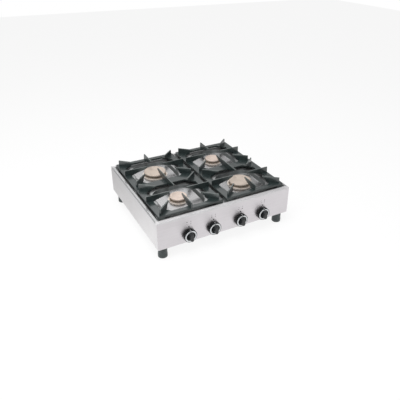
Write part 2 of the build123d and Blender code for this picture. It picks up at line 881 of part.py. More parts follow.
# Gas inlet: a hexagon inside the rear panel and a threaded end outside it
inlet_face = Plane(origin=(inlet_x, rear_y, rail_z), x_dir=(-1, 0, 0), z_dir=(0, 1, 0))
with BuildPart() as inlet_fitting:
    with BuildSketch(inlet_face.offset(-sheet)):
        RegularPolygon(inlet_hex / 2, 6, major_radius=False)
    extrude(amount=-inlet_hex_length)
    with BuildSketch(inlet_face.offset(-sheet)):
        Circle(collar_radius)
    extrude(amount=sheet + lock_nut_height + collar_end_play)
    with BuildSketch(inlet_face):
        Circle(inlet_radius)
    extrude(amount=inlet_reach)
    chamfer(inlet_fitting.faces().sort_by(Axis.Y)[-1].edges(), thread_chamfer)
    with BuildSketch(inlet_face.offset(inlet_reach)):
        Circle(inlet_bore)
    extrude(amount=-(inlet_reach + sheet + inlet_hex_length), mode=Mode.SUBTRACT)
inlet_fitting.part.label = "inlet_fitting"
export_step(inlet_fitting.part, "parts/inlet_fitting.step")

with BuildPart() as inlet_lock_nut:
    with BuildSketch(inlet_face):
        RegularPolygon(lock_nut_hex / 2, 6, major_radius=False)
        Circle(collar_radius + fit_play, mode=Mode.SUBTRACT)
    extrude(amount=lock_nut_height)
inlet_lock_nut.part.label = "inlet_lock_nut"
export_step(inlet_lock_nut.part, "parts/inlet_lock_nut.step")

# Supply tubes, jets and their brackets, from each valve to under its burner
tube_start = front_y + valve_back
jet_bottom = knob_z - jet_block_below
for place, (x, y, _) in burners.items():
    knob_x = knobs[place]
    tube_finish = y - jet_inlet_reach
    with BuildPart() as supply_tube:
        with BuildLine():
            FilletPolyline(
                (knob_x, tube_start, knob_z),
                (knob_x, tube_start + tube_lead, knob_z),
                (x, tube_finish - tube_lead, knob_z),
                (x, tube_finish, knob_z),
                radius=tube_bend,
            )
        with BuildSketch(Plane(origin=(knob_x, tube_start, knob_z), z_dir=(0, 1, 0))):
            Circle(tube_radius)
            Circle(tube_radius - tube_wall, mode=Mode.SUBTRACT)
        sweep()
    supply_tube.part.label = f"supply_tube_{place}"
    export_step(supply_tube.part, f"parts/supply_tube_{place}.step")

    with BuildPart() as jet:
        with BuildSketch(Plane.XY.offset(jet_bottom)):
            with Locations((x, y)):
                Circle(jet_block_radius)
        extrude(amount=jet_block_below + jet_block_above)
        with BuildSketch(Plane(origin=(x, tube_finish, knob_z), z_dir=(0, 1, 0))):
            Circle(jet_inlet_radius)
        extrude(amount=jet_inlet_reach)
        with BuildSketch(Plane.XY.offset(knob_z + jet_block_above)):
            with Locations((x, y)):
                RegularPolygon(jet_hex / 2, 6, major_radius=False)
        extrude(amount=jet_hex_height)
        with BuildSketch(Plane.XY.offset(knob_z + jet_block_above + jet_hex_height)):
            with Locations((x, y)):
                Circle(jet_nose_radius)
        extrude(amount=jet_nose_height)
    jet.part.label = f"jet_{place}"
    export_step(jet.part, f"parts/jet_{place}.step")

with BuildPart() as jet_brackets:
    for x, y in burner_spots:
        half = bracket_width / 2
        with BuildSketch(section_y.offset(-y)):
            with BuildLine():
                FilletPolyline(
                    (x - half - bracket_foot, tray_top),
                    (x - half, tray_top),
                    (x - half, jet_bottom - sheet),
                    (x + half, jet_bottom - sheet),
                    (x + half, tray_top),
                    (x + half + bracket_foot, tray_top),
                    radius=bend_radius,
                )
                offset(amount=sheet, side=Side.LEFT)
            make_face()
        extrude(amount=bracket_depth / 2, both=True)
jet_brackets.part.label = "jet_brackets"
export_step(jet_brackets.part, "parts/jet_brackets.step")

# Union nuts at both ends of each supply tube
with BuildPart() as tube_nuts:
    for place, (x, y, _) in burners.items():
        nut_places = (
            (knobs[place], tube_start),
            (x, y - jet_inlet_reach - tube_nut_length),
        )
        for nut_x, nut_y in nut_places:
            with BuildSketch(Plane(origin=(nut_x, nut_y, knob_z), z_dir=(0, 1, 0))):
                RegularPolygon(tube_nut_hex / 2, 6, major_radius=False)
                Circle(tube_radius + fit_play, mode=Mode.SUBTRACT)
            extrude(amount=tube_nut_length)
tube_nuts.part.label = "tube_nuts"
export_step(tube_nuts.part, "parts/tube_nuts.step")
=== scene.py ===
"""Visual model of a countertop gas stove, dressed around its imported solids.

Metres, +Z up, front towards -Y, with the origin on the table under the centre of the outer box.
"""

import logging
import math
from dataclasses import dataclass, field
from enum import Enum

import bmesh
import bpy
from mathutils import Matrix, Vector


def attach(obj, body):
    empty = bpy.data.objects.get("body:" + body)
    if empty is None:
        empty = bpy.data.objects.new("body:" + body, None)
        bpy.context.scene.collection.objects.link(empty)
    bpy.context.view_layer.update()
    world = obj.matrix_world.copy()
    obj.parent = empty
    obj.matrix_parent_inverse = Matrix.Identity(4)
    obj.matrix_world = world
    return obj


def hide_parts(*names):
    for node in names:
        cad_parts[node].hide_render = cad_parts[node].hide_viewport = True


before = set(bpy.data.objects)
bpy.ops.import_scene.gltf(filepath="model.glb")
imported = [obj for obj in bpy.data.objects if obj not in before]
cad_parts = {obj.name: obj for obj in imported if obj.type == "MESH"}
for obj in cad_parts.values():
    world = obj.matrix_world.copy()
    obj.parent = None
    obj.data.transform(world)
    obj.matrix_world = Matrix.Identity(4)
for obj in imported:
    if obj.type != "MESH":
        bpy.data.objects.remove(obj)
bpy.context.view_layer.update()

log = logging.getLogger("stove")

Colour = tuple[float, float, float]
Point = tuple[float, float, float]
Socket = bpy.types.NodeSocket

CREASE = math.radians(32.0)
FINE_LINES = 0.00002
PANEL_FACE = -0.310
KNOB_AXIS_HEIGHT = 0.101
WHITE = (1.0, 1.0, 1.0)


class Grain(Enum):
    """Direction of the brushing on a steel sheet, as the stretch of its noise along X, Y and Z."""

    ALONG_X = (3.0, 520.0, 520.0)
    ALONG_Y = (520.0, 3.0, 520.0)
    NONE = (90.0, 90.0, 90.0)


class Graph:
    """Node tree of one material, with short calls for the nodes that the finishes share."""

    def __init__(self, name: str) -> None:
        """Start an empty material.

        Args:
            name: the material's name.
        """
        self.material = bpy.data.materials.new(name)
        self.material.use_nodes = True
        self.nodes = self.material.node_tree.nodes
        self.links = self.material.node_tree.links
        self.nodes.clear()
        self.output = self.nodes.new("ShaderNodeOutputMaterial")
        self.shader = self.nodes.new("ShaderNodeBsdfPrincipled")
        self.links.new(self.shader.outputs["BSDF"], self.output.inputs["Surface"])

    def set(self, **values: object) -> None:
        """Set constants on the shader's own sockets.

        Args:
            values: socket names with underscores for spaces, and their values.
        """
        for name, value in values.items():
            socket = self.shader.inputs[name.replace("_", " ")]
            if isinstance(value, tuple) and len(value) == 3:
                value = (*value, 1.0)
            socket.default_value = value

    def feed(self, source: Socket, name: str) -> None:
        """Link a varying value to one of the shader's sockets.

        Args:
            source: the output that varies over the surface.
            name: the shader's socket.
        """
        self.links.new(source, self.shader.inputs[name])

    def place(
        self, stretch: Point = (1.0, 1.0, 1.0), shift: Point = (0.0, 0.0, 0.0)
    ) -> Socket:
        """Give the piece's own coordinates, stretched and shifted.

        Args:
            stretch: scale along X, Y and Z.
            shift: offset added after scaling.

        Returns:
            The socket with the mapped coordinates.
        """
        source = self.nodes.new("ShaderNodeTexCoord")
        mapping = self.nodes.new("ShaderNodeMapping")
        mapping.inputs["Scale"].default_value = stretch
        mapping.inputs["Location"].default_value = shift
        self.links.new(source.outputs["Object"], mapping.inputs["Vector"])
        return mapping.outputs["Vector"]

    def axes(self, shift: Point = (0.0, 0.0, 0.0)) -> bpy.types.bpy_prop_collection:
        """Give the piece's own coordinates one by one.

        Args:
            shift: offset that is added to them.

        Returns:
            The outputs, by the letter of their axis.
        """
        split = self.nodes.new("ShaderNodeSeparateXYZ")
        self.links.new(self.place(shift=shift), split.inputs["Vector"])
        return split.outputs

    def noise(
        self,
        vector: Socket,
        scale: float,
        detail: float = 2.0,
        roughness: float = 0.5,
    ) -> Socket:
        """Add a noise texture.

        Args:
            vector: coordinates.
            scale: how fine the noise is.
            detail: number of octaves.
            roughness: how strong the finer octaves are.

        Returns:
            The noise value.
        """
        node = self.nodes.new("ShaderNodeTexNoise")
        node.inputs["Scale"].default_value = scale
        node.inputs["Detail"].default_value = detail
        node.inputs["Roughness"].default_value = roughness
        self.links.new(vector, node.inputs["Vector"])
        return node.outputs["Fac"]

    def brushing(self, grain: Grain) -> Socket:
        """Give the fine noise of a brushed sheet, stretched along its strokes."""
        return self.noise(self.place(grain.value), 3.0, detail=3.0, roughness=0.65)

    def ramp(self, value: Socket, stops: list[tuple[float, Colour]]) -> Socket:
        """Turn a value into a colour.

        Args:
            value: what drives the ramp.
            stops: positions and colours, in order.

        Returns:
            The colour.
        """
        node = self.nodes.new("ShaderNodeValToRGB")
        elements = node.color_ramp.elements
        while len(elements) < len(stops):
            elements.new(0.5)
        for element, (position, colour) in zip(elements, stops):
            element.position = position
            element.color = (*colour, 1.0)
        self.links.new(value, node.inputs["Fac"])
        return node.outputs["Color"]

    def span(
        self, value: Socket, low: float, high: float, start: float = 0.0, end: float = 1.0
    ) -> Socket:
        """Map a value's range onto another range.

        Args:
            value: what is mapped.
            low: result at the start of the range.
            high: result at its end.
            start: start of the value's range.
            end: end of the value's range.

        Returns:
            The mapped value.
        """
        node = self.nodes.new("ShaderNodeMapRange")
        node.inputs["From Min"].default_value = start
        node.inputs["From Max"].default_value = end
        node.inputs["To Min"].default_value = low
        node.inputs["To Max"].default_value = high
        self.links.new(value, node.inputs["Value"])
        return node.outputs["Result"]

    def calculate(self, operation: str, first: Socket, second: Socket | float = 0.0) -> Socket:
        """Combine two values with one math operation.

        Args:
            operation: the math node's operation.
            first: the first value.
            second: the second value, linked or constant.

        Returns:
            The result.
        """
        node = self.nodes.new("ShaderNodeMath")
        node.operation = operation
        self.links.new(first, node.inputs[0])
        if isinstance(second, float):
            node.inputs[1].default_value = second
        else:
            self.links.new(second, node.inputs[1])
        return node.outputs["Value"]

    def blend(
        self,
        share: Socket | float,
        first: Socket | Colour,
        second: Socket | Colour,
        mode: str = "MIX",
    ) -> Socket:
        """Mix two colours.

        Args:
            share: share of the second colour, linked or constant.
            first: the first colour, linked or constant.
            second: the second colour, linked or constant.
            mode: the blend type.

        Returns:
            The mixed colour.
        """
        node = self.nodes.new("ShaderNodeMix")
        node.data_type = "RGBA"
        node.blend_type = mode
        if isinstance(share, float):
            node.inputs["Factor"].default_value = share
        else:
            self.links.new(share, node.inputs["Factor"])
        for name, value in (("A", first), ("B", second)):
            socket = [s for s in node.inputs if s.name == name and s.type == "RGBA"][0]
            if isinstance(value, tuple):
                socket.default_value = (*value, 1.0)
            else:
                self.links.new(value, socket)
        return [s for s in node.outputs if s.type == "RGBA"][0]

    def bump(self, height: Socket, depth: float) -> None:
        """Feed a height into the shader's normal.

        Args:
            height: the height, from 0 to 1.
            depth: the real depth of a full step, in metres.
        """
        node = self.nodes.new("ShaderNodeBump")
        node.inputs["Distance"].default_value = depth
        node.inputs["Strength"].default_value = 1.0
        self.links.new(height, node.inputs["Height"])
        self.feed(node.outputs["Normal"], "Normal")

    def radius_from(self, centre: Point, axes: str) -> Socket:
        """Give the distance from an axis line, for rings turned on a lathe.

        Args:
            centre: a point on the axis.
            axes: the two letters of the plane that the rings lie in.

        Returns:
            The distance in metres.
        """
        from_centre = self.axes((-centre[0], -centre[1], -centre[2]))
        squares = [self.calculate("POWER", from_centre[letter], 2.0) for letter in axes]
        return self.calculate("SQRT", self.calculate("ADD", squares[0], squares[1]))

    def spread_across(
        self, across: Point, wander: float = 0.12, stroke_scale: float = 60.0
    ) -> None:
        """Spread the gloss across the brushing, which wanders a little from stroke to stroke.

        Args:
            across: the direction across the strokes.
            wander: how far the strokes wander.
            stroke_scale: how often they wander.
        """
        noise = self.nodes.new("ShaderNodeTexNoise")
        noise.inputs["Scale"].default_value = stroke_scale
        noise.inputs["Detail"].default_value = 2.0
        self.links.new(self.place(), noise.inputs["Vector"])
        turn = self.nodes.new("ShaderNodeVectorMath")
        turn.operation = "MULTIPLY_ADD"
        self.links.new(noise.outputs["Color"], turn.inputs[0])
        turn.inputs[1].default_value = (wander, wander, wander)
        turn.inputs[2].default_value = tuple(share - wander / 2 for share in across)
        self.feed(turn.outputs["Vector"], "Tangent")


@dataclass(frozen=True)
class BrushedSteel:
    """Stainless sheet with fine brushing, faint stains and a varying gloss."""

    name: str
    colour: Colour
    grain: Grain
    gloss_low: float = 0.26
    gloss_high: float = 0.40
    stroke_gloss: float = 0.06
    stroke_dark: float = 0.93
    stroke_light: float = 1.05
    stain: Colour = (0.95, 0.95, 0.955)
    stain_scale: float = 7.0
    stain_share: float = 0.85
    anisotropy: float = 0.6
    across: Point = (0.0, 0.0, 1.0)

    def build(self) -> bpy.types.Material:
        """Make the material."""
        graph = Graph(self.name)
        brushing = graph.brushing(self.grain)
        stains = graph.noise(graph.place(), self.stain_scale, detail=3.0, roughness=0.55)
        dark = tuple(channel * self.stroke_dark for channel in self.colour)
        light = tuple(min(channel * self.stroke_light, 1.0) for channel in self.colour)
        streaks = graph.ramp(brushing, [(0.30, dark), (0.70, light)])
        clouds = graph.ramp(stains, [(0.30, self.stain), (0.75, WHITE)])
        share = graph.span(stains, self.stain_share, 1.0)
        graph.feed(graph.blend(share, streaks, clouds, "MULTIPLY"), "Base Color")
        strokes = graph.span(brushing, 0.0, self.stroke_gloss)
        base = graph.span(stains, self.gloss_low, self.gloss_high, start=0.3, end=0.7)
        graph.feed(graph.calculate("ADD", strokes, base), "Roughness")
        graph.set(Metallic=1.0, Anisotropic=self.anisotropy)
        graph.spread_across(self.across)
        graph.bump(brushing, FINE_LINES)
        return graph.material


@dataclass(frozen=True)
class PressedSteel:
    """Bright pressed sheet: brushed rim painted paler as a highlight band, well slopes painted
    darker with the grate's shade and reflection, and scoured floors in its wells.
    """

    name: str
    well_floor: float
    well_top: float
    recess_half_width: float
    recess_half_depth: float
    colour: Colour = (0.56, 0.57, 0.57)
    scoured: Colour = (0.66, 0.655, 0.66)
    # Darker green-grey of the well slopes: painted shade and painted reflection of the grate's
    # rails above them.
    slope_painted_shade: Colour = (0.42, 0.45, 0.45)
    # Paler tone of the raised rim: a painted highlight band on the same sheet.
    rim: Colour = (0.80, 0.79, 0.80)
    rim_gloss: float = 0.45
    flat_metal: float = 0.55
    shelf_share: float = 0.10
    side_share: float = 0.35
    gloss: float = 0.28
    scoured_gloss: float = 0.24
    stroke_gloss: float = 0.03
    stain_gloss: float = 0.05
    stroke: Colour = (0.93, 0.93, 0.93)
    stain: Colour = (0.90, 0.90, 0.905)
    stain_scale: float = 9.0
    anisotropy: float = 0.75
    across: Point = (0.0, 1.0, 0.15)
    fade: float = 0.0012
    clearance: float = 0.0002
    rim_fade: float = 0.001

    def build(self) -> bpy.types.Material:
        """Make the material."""
        graph = Graph(self.name)
        brushing = graph.brushing(Grain.ALONG_X)
        stains = graph.noise(graph.place(), self.stain_scale, detail=3.0, roughness=0.55)
        height = graph.axes()["Z"]
        floor, top = self.well_floor, self.well_top
        worn = graph.span(height, 1.0, 0.0, floor + self.clearance, floor + self.fade)
        slope = graph.span(height, 1.0, 0.0, top - self.fade, top - self.clearance)
        rim = self.rim_share(graph)
        # The slopes take the painted shade and painted reflection of the grate.
        tone = graph.blend(slope, self.colour, self.slope_painted_shade)
        # The raised rim is painted paler than the sheet inside it, a painted highlight band; its
        # rougher, less metallic finish below is real.
        tone = graph.blend(rim, graph.blend(worn, tone, self.scoured), self.rim)
        streaks = graph.ramp(brushing, [(0.30, self.stroke), (0.70, WHITE)])
        clouds = graph.ramp(stains, [(0.30, self.stain), (0.75, WHITE)])
        streaked = graph.blend(1.0, tone, streaks, "MULTIPLY")
        graph.feed(graph.blend(1.0, streaked, clouds, "MULTIPLY"), "Base Color")
        gloss = graph.span(worn, self.gloss, self.scoured_gloss)
        stained = graph.span(stains, 0.0, self.stain_gloss, start=0.3, end=0.7)
        gloss = graph.calculate("ADD", gloss, stained)
        gloss = graph.calculate("ADD", gloss, graph.span(brushing, 0.0, self.stroke_gloss))
        gloss = graph.calculate("MAXIMUM", gloss, graph.span(rim, 0.0, self.rim_gloss))
        graph.feed(gloss, "Roughness")
        shelf = graph.calculate("MULTIPLY", graph.span(slope, 1.0, 0.0), self.shelf_share)
        flat = graph.calculate("MAXIMUM", rim, shelf)
        graph.feed(graph.span(flat, 1.0, self.flat_metal), "Metallic")
        graph.set(Anisotropic=self.anisotropy)
        graph.spread_across(self.across)
        graph.bump(brushing, FINE_LINES)
        return graph.material

    def rim_share(self, graph: Graph) -> Socket:
        """Give 1 on the raised rim round the sheet and 0 inside it.

        Args:
            graph: the material's graph.

        Returns:
            The rim's share.
        """
        axes = graph.axes()
        beyond = []
        for letter, half in (("X", self.recess_half_width), ("Y", self.recess_half_depth)):
            distance = graph.calculate("ABSOLUTE", axes[letter])
            past = graph.calculate("SUBTRACT", distance, half)
            beyond.append(graph.span(past, 0.0, 1.0, 0.0, self.rim_fade))
        sides = graph.calculate("MULTIPLY", beyond[0], self.side_share)
        return graph.calculate("MAXIMUM", sides, beyond[1])


@dataclass(frozen=True)
class EnamelledIron:
    """Cast iron under a dark grey-green enamel, with a sandy skin and paler edges, where rubbed
    wear is mixed with a painted edge highlight.
    """

    name: str
    colour: Colour = (0.014, 0.021, 0.021)
    # Paler tone at the edges: rubbed wear together with a painted edge highlight.
    rubbed_and_highlit: Colour = (0.17, 0.19, 0.185)
    rubbed_and_highlit_share: float = 0.75
    paler: float = 1.35
    gloss_low: float = 0.34
    gloss_high: float = 0.52
    coat_gloss: float = 0.16
    coat_ior: float = 1.6
    sand_scale: float = 900.0
    wave_scale: float = 45.0
    wear_scale: float = 14.0
    skin_depth: float = 0.00022

    def build(self) -> bpy.types.Material:
        """Make the material."""
        graph = Graph(self.name)
        sand = graph.noise(graph.place(), self.sand_scale, detail=3.0, roughness=0.6)
        waves = graph.noise(graph.place(), self.wave_scale, detail=3.0, roughness=0.5)
        wear = graph.noise(graph.place(), self.wear_scale, detail=4.0, roughness=0.62)
        pale = tuple(channel * self.paler for channel in self.colour)
        skin = graph.ramp(waves, [(0.3, self.colour), (0.75, pale)])
        geometry = graph.nodes.new("ShaderNodeNewGeometry")
        # Convex edges turn paler through the wear noise: rubbed wear and a painted edge highlight.
        edges = graph.span(geometry.outputs["Pointiness"], 0.0, self.rubbed_and_highlit_share, 0.53, 0.60)
        worn = graph.calculate("MULTIPLY", edges, wear)
        graph.feed(graph.blend(worn, skin, self.rubbed_and_highlit), "Base Color")
        gloss = graph.span(waves, self.gloss_low, self.gloss_high, start=0.3, end=0.7)
        graph.feed(gloss, "Roughness")
        graph.set(Coat_Weight=1.0, Coat_Roughness=self.coat_gloss, Coat_IOR=self.coat_ior)
        height = graph.calculate("ADD", graph.calculate("MULTIPLY", sand, 0.5), waves)
        graph.bump(height, self.skin_depth)
        return graph.material


@dataclass(frozen=True)
class TurnedMetal:
    """Metal turned on a lathe: fine rings about an axis, in one of two directions."""

    name: str
    centre: Point
    colour: Colour
    shade: Colour
    axes: str = "XY"
    rough: float = 0.30
    metallic: float = 1.0
    ring_pitch: float = 0.0009
    groove: Colour = (0.92, 0.92, 0.92)
    cloud_scale: float = 38.0

    def build(self) -> bpy.types.Material:
        """Make the material."""
        graph = Graph(self.name)
        radius = graph.radius_from(self.centre, self.axes)
        rings = graph.nodes.new("ShaderNodeTexNoise")
        rings.noise_dimensions = "1D"
        rings.inputs["Scale"].default_value = 1.0 / self.ring_pitch
        rings.inputs["Detail"].default_value = 2.0
        graph.links.new(graph.calculate("ADD", radius, self.along(graph)), rings.inputs["W"])
        lathe = rings.outputs["Fac"]
        clouds = graph.noise(graph.place(), self.cloud_scale, detail=4.0, roughness=0.6)
        tone = graph.ramp(clouds, [(0.30, self.shade), (0.66, self.colour)])
        lines = graph.ramp(lathe, [(0.25, self.groove), (0.7, WHITE)])
        graph.feed(graph.blend(graph.span(clouds, 0.8, 1.0), tone, lines, "MULTIPLY"), "Base Color")
        graph.feed(graph.span(lathe, self.rough - 0.05, self.rough + 0.1), "Roughness")
        graph.set(Metallic=self.metallic)
        graph.bump(lathe, FINE_LINES)
        return graph.material

    def along(self, graph: Graph) -> Socket:
        """Give the distance along the axis, so that walls carry grooves too.

        Args:
            graph: the material's graph.

        Returns:
            The distance in metres.
        """
        return graph.axes()["Z" if self.axes == "XY" else "Y"]


@dataclass(frozen=True)
class CastMetal:
    """Cast or plated metal with a faint grain and a clouded tone."""

    name: str
    colour: Colour
    shade: Colour
    rough: float = 0.4
    metallic: float = 1.0
    grain_scale: float = 420.0
    grain_depth: float = 0.00006
    cloud_scale: float = 30.0

    def build(self) -> bpy.types.Material:
        """Make the material."""
        graph = Graph(self.name)
        grain = graph.noise(graph.place(), self.grain_scale, detail=3.0, roughness=0.55)
        clouds = graph.noise(graph.place(), self.cloud_scale, detail=4.0, roughness=0.6)
        graph.feed(graph.ramp(clouds, [(0.32, self.shade), (0.68, self.colour)]), "Base Color")
        graph.feed(graph.span(grain, self.rough - 0.06, self.rough + 0.10), "Roughness")
        graph.set(Metallic=self.metallic)
        graph.bump(grain, self.grain_depth)
        return graph.material


@dataclass(frozen=True)
class MouldedPlastic:
    """Moulded plastic or rubber with a fine spark-eroded grain."""

    name: str
    colour: Colour
    rough: float = 0.4
    specular: float = 0.5
    grain_scale: float = 1500.0
    grain_depth: float = 0.00003
    dust_scale: float = 60.0

    def build(self) -> bpy.types.Material:
        """Make the material."""
        graph = Graph(self.name)
        grain = graph.noise(graph.place(), self.grain_scale, detail=2.0, roughness=0.5)
        dust = graph.noise(graph.place(), self.dust_scale, detail=4.0, roughness=0.6)
        paler = tuple(channel * 1.25 + 0.004 for channel in self.colour)
        graph.feed(graph.ramp(dust, [(0.35, self.colour), (0.80, paler)]), "Base Color")
        graph.feed(graph.span(dust, self.rough - 0.05, self.rough + 0.08), "Roughness")
        graph.set(Specular_IOR_Level=self.specular)
        graph.bump(grain, self.grain_depth)
        return graph.material


@dataclass(frozen=True)
class PrintedInk:
    """Screen-printed ink, slightly worn."""

    name: str
    colour: Colour = (0.012, 0.012, 0.014)
    rough: float = 0.55
    wear_scale: float = 2600.0

    def build(self) -> bpy.types.Material:
        """Make the material."""
        graph = Graph(self.name)
        wear = graph.noise(graph.place(), self.wear_scale, detail=2.0, roughness=0.6)
        paler = tuple(channel * 1.9 + 0.01 for channel in self.colour)
        graph.feed(graph.ramp(wear, [(0.5, self.colour), (0.9, paler)]), "Base Color")
        graph.feed(graph.span(wear, self.rough - 0.1, self.rough + 0.1), "Roughness")
        return graph.material


def dress(names: list[str], material: bpy.types.Material) -> None:
    """Give CAD nodes a material in place of their plain one.

    Args:
        names: the nodes.
        material: their finish.
    """
    for name in names:
        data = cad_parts[name].data
        data.materials.clear()
        data.materials.append(material)
        log.info("%s wears %s", name, material.name)


def add_piece(
    name: str,
    mesh: bmesh.types.BMesh,
    material: bpy.types.Material,
    body: str,
    smooth: bool = True,
) -> bpy.types.Object:
    """Turn a finished mesh into a piece of the object that rides on a body.

    Args:
        name: the piece's name.
        mesh: its geometry, which is freed.
        material: its finish.
        body: the body that it moves with.
        smooth: whether its faces are shaded smooth.

    Returns:
        The new object.
    """
    data = bpy.data.meshes.new(name)
    bmesh.ops.recalc_face_normals(mesh, faces=mesh.faces)
    for edge in mesh.edges:
        edge.smooth = edge.is_manifold and edge.calc_face_angle() < CREASE
    mesh.to_mesh(data)
    mesh.free()
    data.materials.append(material)
    for polygon in data.polygons:
        polygon.use_smooth = smooth
    piece = bpy.data.objects.new(name, data)
    bpy.context.scene.collection.objects.link(piece)
    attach(piece, body)
    log.info("%s: %d faces on %s", name, len(data.polygons), body)
    return piece


@dataclass
class Burner:
    """One burner: where it stands, how large its cap is and which knob opens it."""

    place: str
    x: float
    y: float
    cap_radius: float
    knob_x: float

    @property
    def centre(self) -> Point:
        """A point on the burner's axis."""
        return (self.x, self.y, 0.0)


@dataclass
class Casing:
    """Steel box: the pressed hob top, the four panels, the tray and the feet."""

    well_floor: float = 0.187
    well_top: float = 0.200
    recess_half_width: float = 0.3365
    recess_half_depth: float = 0.2915
    panels: list[str] = field(default_factory=lambda: ["front_panel", "rear_panel"])
    sides: list[str] = field(default_factory=lambda: ["left_side_panel", "right_side_panel"])
    fasteners: list[str] = field(
        default_factory=lambda: ["foot_bolts", "casing_screws", "clamp_screws"]
    )
    panel_colour: Colour = (0.81, 0.78, 0.80)
    # The side sheets are the same steel as the front panel, painted paler: painted light.
    side_painted_light_colour: Colour = (0.88, 0.865, 0.87)
    tray_colour: Colour = (0.50, 0.50, 0.51)
    foot_colour: Colour = (0.036, 0.047, 0.047)
    zinc: Colour = (0.62, 0.62, 0.64)
    zinc_shade: Colour = (0.50, 0.50, 0.50)

    def build(self) -> None:
        """Dress the sheets and the feet."""
        hob = PressedSteel(
            "hob_steel",
            self.well_floor,
            self.well_top,
            self.recess_half_width,
            self.recess_half_depth,
        )
        panel = BrushedSteel("panel_steel", self.panel_colour, Grain.ALONG_X, 0.34, 0.46)
        # Side sheets painted paler than the front panel's steel: painted light.
        side = BrushedSteel("side_steel_painted_light", self.side_painted_light_colour, Grain.ALONG_Y)
        tray = BrushedSteel("tray_steel", self.tray_colour, Grain.NONE, 0.4, 0.5)
        foot = MouldedPlastic("foot_plastic", self.foot_colour, 0.38)
        plated = CastMetal("zinc_plate", self.zinc, self.zinc_shade, 0.3)
        for names, finish in (
            (["hob_top"], hob),
            (self.panels, panel),
            (self.sides, side),
            (["base_tray"], tray),
            (["feet"], foot),
            (self.fasteners, plated),
        ):
            dress(names, finish.build())


@dataclass
class PanelMarks:
    """Printed marks over the knobs: an index dot, and a map of the burners with one filled."""

    front_y: float = PANEL_FACE
    steps: int = 32
    dot_z: float = 0.1428
    dot_radius: float = 0.0033
    map_z: float = 0.1633
    map_half_width: float = 0.0095
    map_half_height: float = 0.0053
    ring_radius: float = 0.0023
    ring_line: float = 0.0006
    ink_thickness: float = 0.00012

    def disc(self, mesh: bmesh.types.BMesh, x: float, z: float, outer: float, inner: float) -> None:
        """Add one flat printed disc or ring.

        Args:
            mesh: what it is added to.
            x: its centre's X.
            z: its centre's Z.
            outer: its outer radius.
            inner: its inner radius, or 0 for a full disc.
        """
        y = self.front_y - self.ink_thickness
        circles = []
        for radius in (outer, inner):
            if not radius:
                continue
            turns = [2 * math.pi * i / self.steps for i in range(self.steps)]
            circles.append(
                [
                    mesh.verts.new((x + radius * math.cos(turn), y, z + radius * math.sin(turn)))
                    for turn in turns
                ]
            )
        if len(circles) == 1:
            faces = [mesh.faces.new(circles[0])]
        else:
            rim, hole = circles
            faces = []
            for i in range(self.steps):
                j = (i + 1) % self.steps
                faces.append(mesh.faces.new((rim[i], rim[j], hole[j], hole[i])))
        back = bmesh.ops.extrude_face_region(mesh, geom=faces)
        moved = [item for item in back["geom"] if isinstance(item, bmesh.types.BMVert)]
        bmesh.ops.translate(mesh, verts=moved, vec=(0, self.ink_thickness, 0))

    def build(self, burners: list[Burner]) -> None:
        """Print the marks of every knob.

        Args:
            burners: the burners with their knobs.
        """
        ink = PrintedInk("panel_ink").build()
        for burner in burners:
            mesh = bmesh.new()
            self.disc(mesh, burner.knob_x, self.dot_z, self.dot_radius, 0.0)
            for other in burners:
                x = burner.knob_x + math.copysign(self.map_half_width, other.x)
                z = self.map_z + math.copysign(self.map_half_height, other.y)
                inner = 0.0 if other is burner else self.ring_radius - self.ring_line
                self.disc(mesh, x, z, self.ring_radius, inner)
            name = f"panel_marks_{burner.place}"
            add_piece(name, mesh, ink, "casing", smooth=False)


@dataclass
class BurnerSet:
    """The four burners' cups, flame rings and caps."""

    burners: list[Burner]
    small_below: float = 0.05
    small_cap: Colour = (0.78, 0.65, 0.57)
    large_cap: Colour = (0.69, 0.59, 0.51)
    cap_shading: float = 0.86
    cap_metallic: float = 0.55
    ring_colour: Colour = (0.84, 0.74, 0.64)
    ring_shade: Colour = (0.72, 0.62, 0.52)
    ring_rough: float = 0.14
    cup_colour: Colour = (0.84, 0.77, 0.71)
    cup_shade: Colour = (0.72, 0.65, 0.59)
    cup_metallic: float = 0.5
    cast_rough: float = 0.42

    def build(self) -> None:
        """Dress every burner, its rings turned about its own axis."""
        for burner in self.burners:
            place, centre = burner.place, burner.centre
            small = burner.cap_radius < self.small_below
            colour = self.small_cap if small else self.large_cap
            shade = tuple(channel * self.cap_shading for channel in colour)
            cap = TurnedMetal(
                f"cap_metal_{place}",
                centre,
                colour,
                shade,
                rough=self.cast_rough,
                metallic=self.cap_metallic,
            )
            ring = TurnedMetal(
                f"ring_steel_{place}",
                centre,
                self.ring_colour,
                self.ring_shade,
                rough=self.ring_rough,
            )
            cup = TurnedMetal(
                f"cup_metal_{place}",
                centre,
                self.cup_colour,
                self.cup_shade,
                rough=self.cast_rough,
                metallic=self.cup_metallic,
            )
            for node, finish in (("burner_cap", cap), ("flame_ring", ring), ("burner_cup", cup)):
                dress([f"{node}_{place}"], finish.build())


@dataclass
class PanSupports:
    """The two double grates."""

    nodes: list[str] = field(default_factory=lambda: ["pan_support_left", "pan_support_right"])

    def build(self) -> None:
        """Dress the grates."""
        dress(self.nodes, EnamelledIron("grate_iron").build())


